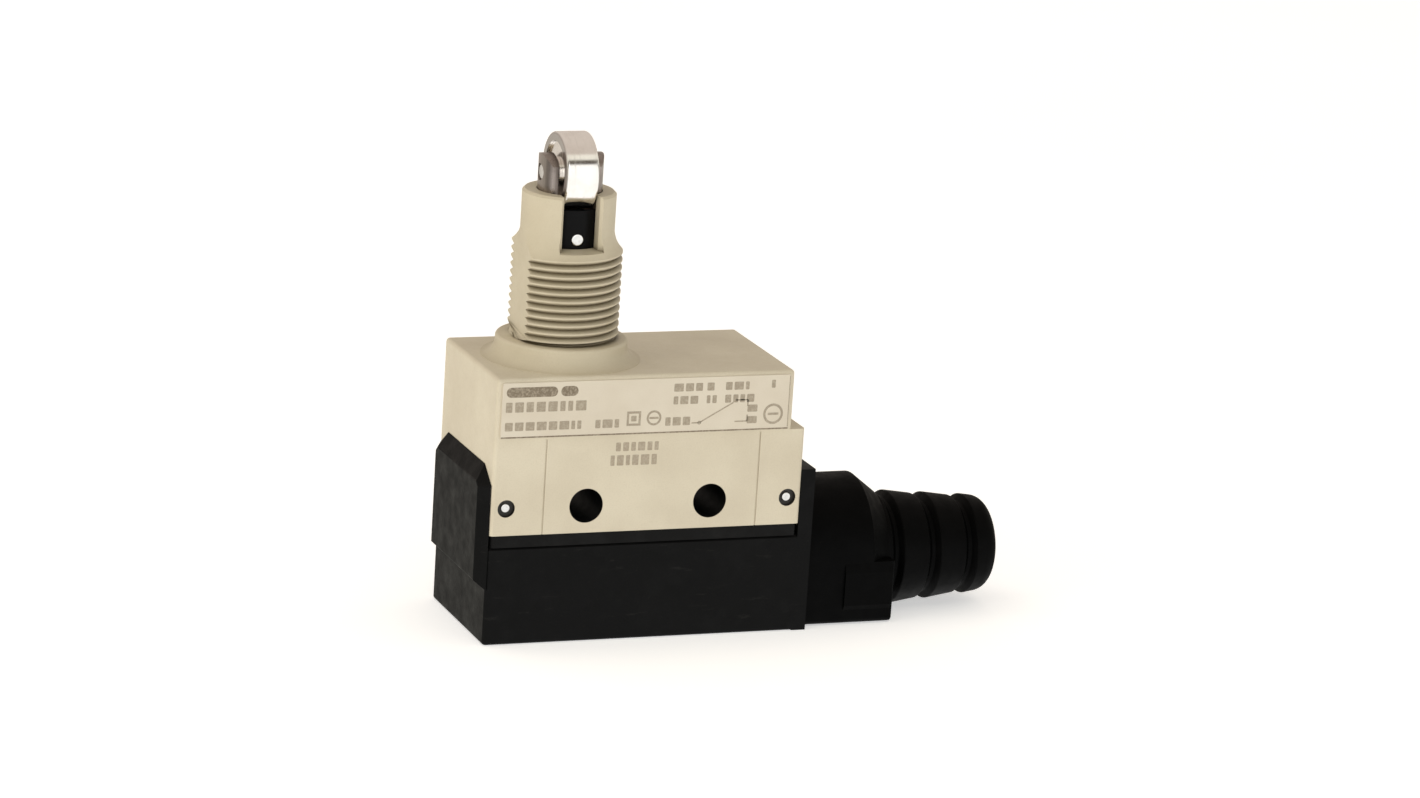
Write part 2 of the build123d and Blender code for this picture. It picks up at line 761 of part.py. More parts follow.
with BuildPart() as terminal_screws:
    screw_head_radius = 2.7
    screw_head_height = 1.9
    with BuildSketch(Plane.XY.offset(washer_bottom - screw_head_height)):
        with Locations(*[(x, 0) for x in terminal_places]):
            Circle(screw_head_radius)
    extrude(amount=screw_head_height)
    fillet(terminal_screws.edges().group_by(Axis.Z)[0], radius=0.6)
    with BuildSketch(Plane.XY.offset(washer_bottom)):
        with Locations(*[(x, 0) for x in terminal_places]):
            Circle(screw_radius)
    extrude(amount=6.2)
    # Cross recess in each head
    with BuildSketch(Plane.XY.offset(washer_bottom - screw_head_height)):
        with Locations(*[(x, 0) for x in terminal_places]):
            Rectangle(2.8, 0.7)
            Rectangle(0.7, 2.8)
    extrude(amount=1.1, mode=Mode.SUBTRACT)
write(terminal_screws.part, "terminal_screws")

# ---------------------------------------------------------------- cover, gasket and boot
with BuildPart() as cover_gasket:
    gasket_x, gasket_length = span(case_left + gasket_inset, case_right - gasket_inset)
    with BuildSketch(Plane.XY.offset(cover_rim + 0.02)):
        with Locations((gasket_x, 0)):
            RectangleRounded(gasket_length, 2 * (case_half_depth - gasket_inset), 0.5)
            Rectangle(gasket_length - 3.0, 2 * (block_half_depth + 0.1), mode=Mode.SUBTRACT)
    extrude(amount=case_bottom - cover_rim - 0.04)
write(cover_gasket.part, "cover_gasket")


def ear_outline(plane, half_width, bottom, shoulder, top, crown_half_width):
    """Outline of the left ear on one plane: a rectangle with its two top corners cut."""
    with BuildSketch(plane) as outline_sketch:
        with BuildLine():
            Polyline(
                (-half_width, bottom),
                (half_width, bottom),
                (half_width, shoulder),
                (crown_half_width, top),
                (-crown_half_width, top),
                (-half_width, shoulder),
                close=True,
            )
        make_face()
    return outline_sketch.sketch


ear_foot = ear_outline(Plane.YZ.offset(ear_inner), cover_half_depth, 7.0, 20.2, 22.2, 7.2)
ear_face = ear_outline(Plane.YZ.offset(ear_outer), 8.4, 7.9, 19.6, 20.2, 7.8)

with BuildPart() as terminal_cover:
    cover_x, cover_length = span(cover_left, cover_right)
    with BuildSketch():
        with Locations((cover_x, 0)):
            RectangleRounded(cover_length, 2 * cover_half_depth, 0.5)
    extrude(amount=cover_rim)
    chamfer(terminal_cover.faces().sort_by(Axis.Z)[-1].edges(), length=0.3)
    fillet(terminal_cover.faces().sort_by(Axis.Z)[0].edges(), radius=0.4)
    # Right ear, which rises beside the case and carries the cable boot
    right_ear_x, right_ear_width = span(right_ear_inner, cover_right)
    with BuildSketch():
        with Locations((right_ear_x, 0)):
            Rectangle(right_ear_width, 2 * cover_half_depth)
    extrude(amount=right_ear_top)
    # Left ear, a raised pad with sloped borders
    loft(sections=[ear_foot, ear_face])
    fillet(terminal_cover.faces().sort_by(Axis.X)[0].edges(), radius=0.3)
    # Wiring space
    hollow_x, hollow_length = span(inner_left, case_right)
    with BuildSketch(Plane.XY.offset(cover_floor)):
        with Locations((hollow_x, 0)):
            RectangleRounded(hollow_length, 2 * inner_half_depth, 1.0)
    extrude(amount=cover_rim - cover_floor, mode=Mode.SUBTRACT)
    # Window for the boot's neck
    window_z, window_height = span(window_bottom, window_top)
    with BuildSketch(Plane.YZ.offset(case_right - 1.0)):
        with Locations((0, window_z)):
            RectangleRounded(2 * window_half_width, window_height, 1.0)
    extrude(amount=2 * wall + 1.0, mode=Mode.SUBTRACT)
write(terminal_cover.part, "terminal_cover")


def boot_radius(x):
    """Outer radius of the boot's tapered part."""
    share = (x - boot_block_right) / (boot_end - boot_block_right)
    return boot_base_radius + share * (boot_end_radius - boot_base_radius)


with BuildPart() as cable_boot:
    # Block with an arched top, outside the cover
    with BuildSketch(Plane.YZ.offset(boot_block_left)):
        with BuildLine():
            Polyline(
                (boot_block_half_width, boot_arch_height),
                (boot_block_half_width, 0.1),
                (-boot_block_half_width, 0.1),
                (-boot_block_half_width, boot_arch_height),
            )
            ThreePointArc(
                (-boot_block_half_width, boot_arch_height),
                (0, boot_arch_height + boot_block_half_width),
                (boot_block_half_width, boot_arch_height),
            )
        make_face()
    extrude(amount=boot_block_right - boot_block_left)
    # The arch slopes down to the tapered end, and the block below keeps its square corners
    slope_start = boot_block_right - boot_slope_length
    slope_past_end = 0.4
    slope_rate = boot_slope_depth / boot_slope_length
    with BuildSketch(Plane.XY.offset(boot_arch_height)):
        with BuildLine():
            Polyline(
                (slope_start, -boot_block_half_width),
                (slope_start, -boot_block_half_width - 1.0),
                (boot_block_right + slope_past_end, -boot_block_half_width - 1.0),
                (
                    boot_block_right + slope_past_end,
                    -boot_block_half_width + boot_slope_depth + slope_past_end * slope_rate,
                ),
                close=True,
            )
        make_face()
    revolve(
        axis=Axis((0, 0, boot_arch_height), (-1, 0, 0)),
        revolution_arc=180,
        mode=Mode.SUBTRACT,
    )
    fillet(cable_boot.edges().filter_by(Axis.X).group_by(Axis.Z)[0], radius=0.7)
    fillet(cable_boot.edges().filter_by(Axis.Z).group_by(Axis.X)[-1], radius=0.3)
    # Raised pad on the front and back of the block, sloped along its top and bottom
    for side in (-1, 1):
        with BuildSketch(Plane.YZ.offset(boot_pad_left)):
            with BuildLine():
                Polyline(
                    (side * (boot_block_half_width - 0.5), boot_arch_height - 0.1),
                    (side * boot_block_half_width, boot_arch_height - 0.1),
                    (side * (boot_block_half_width + boot_pad_depth), 6.7),
                    (side * (boot_block_half_width + boot_pad_depth), 2.5),
                    (side * boot_block_half_width, 1.9),
                    (side * (boot_block_half_width - 0.5), 1.9),
                    close=True,
                )
            make_face()
        extrude(amount=boot_block_right - 0.4 - boot_pad_left)
    # Tapered end with rings that let it bend
    ring_corners = [(boot_block_right - 1.0, boot_height + boot_radius(boot_block_right))]
    for index in range(rib_count):
        x = first_rib + index * rib_spacing
        radius = boot_radius(x)
        ring_corners.append((x - 0.5, boot_height + radius))
        ring_corners.append((x, boot_height + radius - ring_groove_depth))
        ring_corners.append((x + 0.5, boot_height + radius - ring_groove_depth))
        ring_corners.append((x + 1.1, boot_height + radius + 0.1))
    ring_corners.append((boot_end, boot_height + boot_end_radius))
    with BuildSketch(Plane.XZ):
        with BuildLine():
            FilletPolyline(*ring_corners, radius=ring_rounding)
            Polyline(
                ring_corners[-1],
                (boot_end, boot_height),
                (ring_corners[0][0], boot_height),
                ring_corners[0],
            )
        make_face()
    revolve(axis=Axis((0, 0, boot_height), (1, 0, 0)))
    end_rim = cable_boot.faces().sort_by(Axis.X)[-1].edges().filter_by(GeomType.CIRCLE)
    fillet(end_rim, radius=1.9)
    # Neck through the window and flange inside the cover
    neck_z, neck_height = span(window_bottom + 0.05, window_top - 0.05)
    with BuildSketch(Plane.YZ.offset(case_right - 0.1)):
        with Locations((0, neck_z)):
            RectangleRounded(2 * window_half_width - 0.1, neck_height, 1.0)
    extrude(amount=boot_block_left - case_right + 0.1)
    with BuildSketch(Plane.YZ.offset(case_right - 1.1)):
        with Locations((0, neck_z)):
            RectangleRounded(2 * window_half_width + 1.6, neck_height, 1.0)
    extrude(amount=1.0)
    # Bore for the cable
    with BuildSketch(Plane.YZ.offset(case_right - 1.1)):
        with Locations((0, boot_height)):
            Circle(cable_bore_radius)
    extrude(amount=boot_end, mode=Mode.SUBTRACT)
write(cable_boot.part, "cable_boot")
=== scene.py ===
import json
import math
import random

import bmesh
import bpy
from mathutils import Matrix, Vector

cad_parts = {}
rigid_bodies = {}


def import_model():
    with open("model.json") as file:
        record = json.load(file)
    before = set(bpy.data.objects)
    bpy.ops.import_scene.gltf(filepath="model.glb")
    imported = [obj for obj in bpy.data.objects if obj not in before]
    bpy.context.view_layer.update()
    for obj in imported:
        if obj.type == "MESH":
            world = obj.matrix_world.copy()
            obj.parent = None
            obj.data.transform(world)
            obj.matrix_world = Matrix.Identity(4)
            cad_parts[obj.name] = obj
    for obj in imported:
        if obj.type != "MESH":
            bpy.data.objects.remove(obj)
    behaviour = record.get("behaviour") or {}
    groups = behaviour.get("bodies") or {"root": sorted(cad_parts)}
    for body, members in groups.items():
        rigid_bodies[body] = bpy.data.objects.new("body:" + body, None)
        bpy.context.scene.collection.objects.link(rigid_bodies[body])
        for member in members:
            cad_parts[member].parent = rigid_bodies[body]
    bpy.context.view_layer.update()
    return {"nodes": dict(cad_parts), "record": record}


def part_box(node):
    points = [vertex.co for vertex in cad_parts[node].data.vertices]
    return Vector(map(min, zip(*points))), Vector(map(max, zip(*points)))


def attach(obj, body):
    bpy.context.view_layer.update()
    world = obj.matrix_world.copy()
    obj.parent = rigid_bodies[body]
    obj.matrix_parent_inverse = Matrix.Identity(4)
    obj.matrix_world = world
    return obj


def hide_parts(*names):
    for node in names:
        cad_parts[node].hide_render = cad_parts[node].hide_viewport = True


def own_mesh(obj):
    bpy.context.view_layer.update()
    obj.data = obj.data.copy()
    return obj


MM = 0.001

for leftover in list(bpy.data.objects):
    bpy.data.objects.remove(leftover)

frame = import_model()
nodes = frame["nodes"]


# ---------------------------------------------------------------- node helpers
class Finish:
    """A node material on one Principled shader, whose textures follow the object's own space."""

    def __init__(self, name, **constants):
        self.material = bpy.data.materials.new(name)
        self.material.use_nodes = True
        self.tree = self.material.node_tree
        self.shader = self.tree.nodes["Principled BSDF"]
        for socket, value in constants.items():
            self.shader.inputs[socket.replace("_", " ")].default_value = value
        self.space = self.node("ShaderNodeTexCoord").outputs["Object"]

    def node(self, kind, values=(), **settings):
        """A new node, with its settings and its input values or links."""
        made = self.tree.nodes.new(kind)
        for key, value in settings.items():
            setattr(made, key, value)
        for socket, value in dict(values).items():
            self.feed(made.inputs[socket], value)
        return made

    def feed(self, socket, value):
        """Link a socket to another, or set it to a number or a vector."""
        if isinstance(value, bpy.types.NodeSocket):
            self.tree.links.new(value, socket)
        else:
            socket.default_value = value

    def set(self, socket, source):
        """Link an input of the shader."""
        self.tree.links.new(source, self.shader.inputs[socket])

    def stretched(self, scale):
        """Object space scaled along each axis, for streaks."""
        return self.node("ShaderNodeMapping", {"Vector": self.space, "Scale": scale}).outputs["Vector"]

    def noise(self, scale, detail=3.0, roughness=0.55, space=None):
        """Noise with features about 1 / scale metres wide."""
        values = {"Vector": space or self.space, "Scale": scale, "Detail": detail, "Roughness": roughness}
        return self.node("ShaderNodeTexNoise", values).outputs["Fac"]

    def between(self, source, low, high, start=0.0, end=1.0):
        """A value whose range start to end is taken to the range low to high."""
        values = {"Value": source, "From Min": start, "From Max": end, "To Min": low, "To Max": high}
        return self.node("ShaderNodeMapRange", values).outputs["Result"]

    def blend(self, share, first, second):
        """A colour between two, each a colour or a socket."""
        made = self.node("ShaderNodeMix", data_type="RGBA")
        share_socket, first_socket, second_socket = made.inputs[0], made.inputs[6], made.inputs[7]
        self.feed(share_socket, share)
        for socket, colour in ((first_socket, first), (second_socket, second)):
            self.feed(socket, colour if isinstance(colour, bpy.types.NodeSocket) else (*colour, 1.0))
        return made.outputs[2]

    def calculate(self, operation, first, second=0.0):
        """One Math node."""
        made = self.node("ShaderNodeMath", operation=operation)
        for socket, value in zip(made.inputs, (first, second)):
            self.feed(socket, value)
        return made.outputs[0]

    def recess(self, reach):
        """0 in the open to 1 deep in a groove or a corner of the same piece."""
        made = self.node("ShaderNodeAmbientOcclusion", {"Distance": reach}, samples=6, only_local=True)
        return self.between(made.outputs["AO"], 1.0, 0.0)

    def bump(self, height, depth, strength=1.0, over=None):
        """Small relief, in metres, on top of an earlier bump if one is given."""
        values = {"Height": height, "Distance": depth, "Strength": strength}
        if over is not None:
            values["Normal"] = over
        return self.node("ShaderNodeBump", values).outputs["Normal"]


def rgb(red, green, blue):
    """Linear colour from the 0 to 255 values of a display."""
    def linear(value):
        share = value / 255
        return share / 12.92 if share <= 0.04045 else ((share + 0.055) / 1.055) ** 2.4
    return tuple(linear(value) for value in (red, green, blue))


def scaled(colour, factor, lift=0.0):
    """A colour made lighter or darker."""
    return tuple(factor * channel + lift for channel in colour)


# ---------------------------------------------------------------- materials
# Parts of a noise's range, most of which lies near 0.5
CORE = (0.35, 0.65)
BODY = (0.3, 0.7)

# Round recesses in the case's faces, seen from the middle between the mounting holes, which get painted
# shadow
mounting_hole_offset = 8.0 * MM
mounting_hole_reach = 2.19 * MM
pin_hole_offset = 18.2 * MM
pin_hole_reach = 1.13 * MM
recess_start = 10.33 * MM


def beige_resin(name, shades, grain_depth, recess_shade_share, recess_shade_span, paint_bore_shadows=False):
    """Moulded beige body colour: faint mottling, a fine spark-eroded grain, painted shade in the recesses
    and, if asked, painted shadow in the round bores.

    The span holds the depths of recess, 0 to 1, at which the painted shade starts and is full."""
    speck_shade = rgb(182, 171, 146)
    recess_shade_tone = rgb(82, 68, 40)
    painted_bore_shadow = rgb(3, 3, 3)
    painted_pin_recess_shadow = rgb(34, 30, 25)
    finish = Finish(name, Specular_IOR_Level=0.45)
    mottling = finish.between(finish.noise(110.0, 4.0), 0.0, 1.0, *CORE)
    specks = finish.between(finish.noise(5200.0, 2.0), 0.0, 0.22, 0.45, 0.75)
    colour = finish.blend(mottling, *shades)
    colour = finish.blend(specks, colour, speck_shade)
    # Painted shade: darker deep in grooves and corners of the same piece.
    painted_recess_shade = finish.between(finish.recess(0.9 * MM), 0.0, recess_shade_share, *recess_shade_span)
    colour = finish.blend(painted_recess_shade, colour, recess_shade_tone)
    # Painted shadow: near black in the mounting bores and dark brown in the pin recesses.
    if paint_bore_shadows:
        mounting_bore_shadow = bore_shadow_mask(finish, mounting_hole_offset, mounting_hole_reach)
        colour = finish.blend(mounting_bore_shadow, colour, painted_bore_shadow)
        pin_recess_shadow = bore_shadow_mask(finish, pin_hole_offset, pin_hole_reach)
        colour = finish.blend(pin_recess_shadow, colour, painted_pin_recess_shadow)
    finish.set("Base Color", colour)
    finish.set("Roughness", finish.between(finish.noise(900.0, 3.0), 0.42, 0.56, *BODY))
    grain = finish.bump(finish.noise(4200.0, 4.0, 0.6), grain_depth)
    finish.set("Normal", finish.bump(finish.noise(420.0, 2.0), 0.02 * MM, 0.5, over=grain))
    return finish.material


def bore_shadow_mask(finish, offset, reach):
    """1 inside two round recesses either side of the middle, at the mounting holes' height: where painted
    shadow goes.
    """
    mount = next(m for m in frame["record"]["mounts"] if m["name"] == "mounting_holes")
    height = mount["pos_m"][2]
    parts = finish.node("ShaderNodeSeparateXYZ", {"Vector": finish.space})
    across = finish.calculate("SUBTRACT", finish.calculate("ABSOLUTE", parts.outputs["X"]), offset)
    up = finish.calculate("SUBTRACT", parts.outputs["Z"], height)
    across_squared = finish.calculate("POWER", across, 2.0)
    up_squared = finish.calculate("POWER", up, 2.0)
    squares = finish.calculate("ADD", across_squared, up_squared)
    inside = finish.calculate("LESS_THAN", squares, reach * reach)
    depth = finish.calculate("ABSOLUTE", parts.outputs["Y"])
    behind_face = finish.calculate("LESS_THAN", depth, recess_start)
    return finish.calculate("MULTIPLY", inside, behind_face)


def plate_paint():
    """The marking plate: the case's colour, smoother and a little paler."""
    shades = (rgb(207, 197, 178), rgb(213, 204, 186))
    speck_shade = rgb(176, 166, 146)
    finish = Finish("plate_paint", Specular_IOR_Level=0.5)
    mottling = finish.between(finish.noise(160.0, 3.0), 0.0, 1.0, *CORE)
    specks = finish.between(finish.noise(6500.0, 2.0), 0.0, 0.14, 0.5, 0.8)
    colour = finish.blend(mottling, *shades)
    colour = finish.blend(specks, colour, speck_shade)
    finish.set("Base Color", colour)
    finish.set("Roughness", finish.between(finish.noise(700.0, 3.0), 0.34, 0.46, *BODY))
    finish.set("Normal", finish.bump(finish.noise(2600.0, 3.0), 0.004 * MM))
    return finish.material


def ink(name, shade):
    """Grey print, and the painted shade lines at the plate's edges, thin enough for the plate's speckle to
    show through it.
    """
    worn_shade = rgb(192, 182, 163)
    finish = Finish(name, Specular_IOR_Level=0.3)
    wear = finish.between(finish.noise(3800.0, 3.0), 0.0, 0.55, 0.42, 0.72)
    finish.set("Base Color", finish.blend(wear, shade, worn_shade))
    finish.set("Roughness", finish.between(finish.noise(2500.0, 2.0), 0.5, 0.7))
    return finish.material


def dark_resin(name, shade, grain_depth, roughness=(0.4, 0.56)):
    """Dark moulding with a leathery spark-eroded grain and faint pale handling marks."""
    scuff_shade = rgb(62, 60, 57)
    finish = Finish(name, Specular_IOR_Level=0.08)
    dust = finish.between(finish.noise(240.0, 5.0, 0.65), 0.0, 0.35, 0.5, 0.8)
    colour = finish.blend(dust, shade, scaled(shade, 2.1, 0.003))
    scuffs = finish.noise(260.0, 6.0, 0.7, space=finish.stretched((1.0, 1.0, 5.0)))
    colour = finish.blend(finish.between(scuffs, 0.0, 0.3, 0.62, 0.78), colour, scuff_shade)
    finish.set("Base Color", colour)
    finish.set("Roughness", finish.between(finish.noise(520.0, 4.0), *roughness, *BODY))
    pits = finish.node("ShaderNodeTexVoronoi", {"Vector": finish.space, "Scale": 2600.0, "Randomness": 1.0})
    grain = finish.bump(finish.noise(3100.0, 4.0, 0.62), grain_depth)
    finish.set("Normal", finish.bump(pits.outputs["Distance"], grain_depth * 0.6, 0.7, over=grain))
    return finish.material


def soft_rubber(name, shade):
    """Matt rubber: very dark, a soft sheen, fine flow marks along its length."""
    finish = Finish(name, Specular_IOR_Level=0.045)
    bloom = finish.between(finish.noise(320.0, 5.0, 0.6), 0.0, 0.5, 0.45, 0.75)
    finish.set("Base Color", finish.blend(bloom, shade, scaled(shade, 2.0, 0.0005)))
    finish.set("Roughness", finish.between(finish.noise(800.0, 3.0), 0.44, 0.6, *BODY))
    flow = finish.noise(900.0, 3.0, space=finish.stretched((0.25, 1.0, 1.0)))
    grain = finish.bump(flow, 0.012 * MM)
    finish.set("Normal", finish.bump(finish.noise(5200.0, 2.0), 0.004 * MM, 0.7, over=grain))
    return finish.material


def metal(name, colour, stain_and_shade_tone, roughness, streaks, streak_scale=2600.0, streak_depth=0.0025 * MM,
          shaded_sides=None):
    """Metal with cutting or drawing marks along one direction, random stains, and painted shade in the
    corners.

    The sides argument is a place along X and a half width: beyond it the metal is darkened as painted shade."""
    finish = Finish(name, Metallic=1.0)
    lines = finish.noise(streak_scale, 4.0, 0.62, space=finish.stretched(streaks))
    stain = finish.noise(420.0, 4.0)
    tone = finish.blend(finish.between(stain, 0.0, 0.6, 0.45, 0.8), colour, stain_and_shade_tone)
    tone = finish.blend(finish.between(lines, 0.0, 0.45, 0.5, 0.8), tone, stain_and_shade_tone)
    # Painted shade: beyond the given half width the metal is darkened, on the roller's side faces.
    if shaded_sides:
        middle, half_width = shaded_sides
        edge = 0.12 * MM
        parts = finish.node("ShaderNodeSeparateXYZ", {"Vector": finish.space})
        off_middle = finish.calculate("ABSOLUTE", finish.calculate("SUBTRACT", parts.outputs["X"], middle))
        side_shade = finish.between(off_middle, 0.0, 0.6, half_width - edge, half_width)
        tone = finish.blend(side_shade, tone, scaled(stain_and_shade_tone, 0.3))
    # Painted shade: darker deep in corners of the same piece.
    corner = finish.between(finish.recess(0.5 * MM), 0.0, 0.6, 0.3, 0.9)
    finish.set("Base Color", finish.blend(corner, tone, scaled(stain_and_shade_tone, 0.25)))
    finish.set("Roughness", finish.between(lines, *roughness, *BODY))
    finish.set("Normal", finish.bump(lines, streak_depth))
    return finish.material


def dress(material, *node_names):
    """Put a material on CAD nodes, and hand it back for the pieces that wear it too."""
    for node_name in node_names:
        for material_slot in nodes[node_name].material_slots:
            material_slot.material = material
    return material


# Scales of object space: marks run along the axes with the small numbers
ACROSS_X = (1.0, 0.03, 0.03)
ALONG_Z = (1.0, 1.0, 0.05)
ALONG_X = (0.05, 1.0, 1.0)
ALL_WAYS = (1.0, 1.0, 1.0)

case_shades = (rgb(203, 193, 171), rgb(212, 203, 181))
# The barrel's beige is the case's made a little darker, as painted shade.
barrel_tones_with_painted_shade = (rgb(192, 182, 157), rgb(201, 191, 167))
inner_roughness = (0.32, 0.45)

axis_x = sum(corner.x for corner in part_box("plunger_seal")) / 2
roller_low, roller_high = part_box("roller")
roller_half_width = (roller_high.x - roller_low.x) / 2

dress(beige_resin("case_resin_grained", case_shades, 0.010 * MM, 0.3, (0.45, 0.95), paint_bore_shadows=True), "case")
# Painted shade strong and deep in the barrel's thread grooves.
barrel_resin = dress(beige_resin("barrel_resin_grained", barrel_tones_with_painted_shade, 0.006 * MM, 0.95, (0.1, 0.62)),
                     "threaded_barrel")
dress(plate_paint(), "marking_plate")

dress(dark_resin("cover_resin_grained", rgb(11, 11, 11), 0.016 * MM), "terminal_cover")
dress(dark_resin("block_resin", rgb(92, 60, 30), 0.006 * MM, inner_roughness), "terminal_block")
dress(dark_resin("housing_resin", rgb(34, 32, 30), 0.006 * MM, inner_roughness), "contact_housing")
dress(dark_resin("button_resin", rgb(150, 24, 18), 0.003 * MM, (0.28, 0.4)), "switch_button")
dress(dark_resin("plunger_acetal", rgb(12, 12, 13), 0.003 * MM, (0.3, 0.42)), "plunger_body")

dress(soft_rubber("boot_rubber_matt", rgb(3, 3, 3)), "cable_boot")
dress(soft_rubber("gasket_rubber", rgb(24, 24, 24)), "cover_gasket")
dress(soft_rubber("seal_rubber_dark", rgb(26, 26, 26)), "plunger_seal")

# The roller's steel colour is raised to a warm near white, partly painted reflection of the bright
# surroundings.
dress(metal("roller_ground_steel", (0.97, 0.93, 0.89), (0.78, 0.72, 0.66), (0.10, 0.24), ACROSS_X,
            shaded_sides=(axis_x, roller_half_width)), "roller")
# Painted shade and reflection: the fork's steel is coloured dark brown.
dress(metal("fork_steel_painted_dark", (0.36, 0.31, 0.28), (0.07, 0.05, 0.04), (0.2, 0.4), ALONG_Z,
            streak_scale=900.0, streak_depth=0.01 * MM), "plunger_fork")
dress(metal("pin_steel", (0.82, 0.81, 0.79), (0.5, 0.48, 0.46), (0.16, 0.3), ALL_WAYS),
      "case_pins", "cross_pin", "roller_pin", "push_rod")
dress(metal("screw_steel", (0.68, 0.66, 0.60), (0.36, 0.34, 0.3), (0.26, 0.42), ALL_WAYS),
      "terminal_screws", "terminal_washers")
spring_wire = dress(metal("spring_wire", (0.60, 0.60, 0.61), (0.3, 0.3, 0.32), (0.2, 0.34), ALL_WAYS),
                    "return_spring", "overtravel_spring")
dress(metal("bush_bronze", (0.62, 0.42, 0.2), (0.34, 0.21, 0.09), (0.3, 0.5), ACROSS_X),
      "guide_bush", "stem_bush")
dress(metal("terminal_brass", (0.78, 0.60, 0.28), (0.45, 0.32, 0.12), (0.22, 0.38), ALONG_X),
      "open_terminal", "closed_terminal", "common_terminal", "terminal_nuts", "snap_blade", "tension_spring")
dress(metal("contact_silver", (0.88, 0.87, 0.84), (0.5, 0.48, 0.44), (0.16, 0.3), ALL_WAYS),
      "moving_contact", "fixed_contacts")


# ---------------------------------------------------------------- mesh helpers
def new_piece(name, mesh, material, body, slot, *replaced):
    """An object of the switch, riding on its body."""
    piece = bpy.data.objects.new(name, mesh)
    bpy.context.scene.collection.objects.link(piece)
    mesh.materials.clear()
    mesh.materials.append(material)
    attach(piece, body)
    if replaced:
        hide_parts(*replaced)
    return piece


def shade_by_angle(mesh, degrees):
    """Smooth shading, with edges sharper than the angle kept crisp."""
    mesh.shade_smooth()
    mesh.set_sharp_from_angle(angle=math.radians(degrees))


# ---------------------------------------------------------------- barrel with a helical thread
thread_pitch = 1.0 * MM
thread_low = 36.45 * MM
thread_high = 47.2 * MM
thread_fade_low = 36.15 * MM
thread_fade_high = 49.0 * MM
thread_inner = 6.0 * MM
flat_inner = 0.95 * thread_inner
merge_distance = 0.001 * MM
barrel_sharp_angle = 28


def thread_share(height):
    """How far a height takes part in the thread's rise: 0 below and above it, 1 along it."""
    if height < thread_low:
        return max(0.0, (height - thread_fade_low) / (thread_low - thread_fade_low))
    if height > thread_high:
        return max(0.0, (thread_fade_high - height) / (thread_fade_high - thread_high))
    return 1.0


def threaded_barrel():
    """The barrel, its ring grooves led into one helix whose turns end at the flat."""
    mesh = nodes["threaded_barrel"].data.copy()
    mesh.name = "barrel_with_thread"
    work = bmesh.new()
    work.from_mesh(mesh)
    bmesh.ops.remove_doubles(work, verts=work.verts, dist=merge_distance)
    for vertex in work.verts:
        x = vertex.co.x - axis_x
        y = vertex.co.y
        if math.hypot(x, y) > thread_inner or x < -flat_inner:
            turn = math.atan2(y, x) / (2 * math.pi)
            vertex.co.z += thread_pitch * turn * thread_share(vertex.co.z)
    work.to_mesh(mesh)
    work.free()
    if mesh.attributes.get("custom_normal"):
        mesh.attributes.remove(mesh.attributes["custom_normal"])
    shade_by_angle(mesh, barrel_sharp_angle)
    new_piece("barrel_thread", mesh, barrel_resin, "housing", "case_resin", "threaded_barrel")


threaded_barrel()


# ---------------------------------------------------------------- coil springs
steps_per_turn = 40
wire_sides = 12
closed_turns = 0.75
wire_sharp_angle = 50


def coil_spring(name, replaced, wire_radius, turns, body):
    """Round wire wound from the lower to the upper end of its CAD node, with closed end turns."""
    low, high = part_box(replaced)
    middle_radius = (high.x - low.x) / 2 - wire_radius
    bottom = low.z + wire_radius
    rise = high.z - low.z - 2 * wire_radius
    steps = int(turns * steps_per_turn)
    closed = closed_turns / turns
    work = bmesh.new()
    rings = []
    for step in range(steps + 1):
        share = step / steps
        angle = 2 * math.pi * turns * share
        height = bottom + rise * min(1.0, max(0.0, (share - closed) / (1 - 2 * closed)))
        outward = Vector((math.cos(angle), math.sin(angle), 0))
        centre = Vector((axis_x, 0, height)) + middle_radius * outward
        ring = []
        for side in range(wire_sides):
            turn = 2 * math.pi * side / wire_sides
            offset = wire_radius * (math.cos(turn) * outward + math.sin(turn) * Vector((0, 0, 1)))
            ring.append(work.verts.new(centre + offset))
        rings.append(ring)
    for first, second in zip(rings, rings[1:]):
        for side in range(wire_sides):
            after = (side + 1) % wire_sides
            work.faces.new((first[side], second[side], second[after], first[after]))
    work.faces.new(rings[0])
    work.faces.new(rings[-1][::-1])
    bmesh.ops.recalc_face_normals(work, faces=work.faces)
    mesh = bpy.data.meshes.new(name)
    work.to_mesh(mesh)
    work.free()
    shade_by_angle(mesh, wire_sharp_angle)
    spring = new_piece(name, mesh, spring_wire, body, "spring_steel", replaced)
    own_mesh(spring)


coil_spring("return_coil", "return_spring", 0.25 * MM, 5.5, "housing")
coil_spring("overtravel_coil", "overtravel_spring", 0.15 * MM, 7, "pusher")


# ---------------------------------------------------------------- print on the plate and the case, with painted shade at the plate's edges
plate_low, plate_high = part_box("marking_plate")
case_low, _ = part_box("case")
plate_left = plate_low.x / MM
plate_right = plate_high.x / MM
plate_bottom = plate_low.z / MM
plate_top = plate_high.z / MM
print_thickness = 0.012 * MM
print_root = 0.002 * MM
corner_steps = 3
block_rounding = 0.1

# The plate's two colours also paint shade along its lower and right edges.
heading_ink_and_lower_shadow = rgb(124, 112, 94)
plate_ink_and_edge_shade = rgb(158, 147, 129)
case_ink = rgb(162, 150, 131)


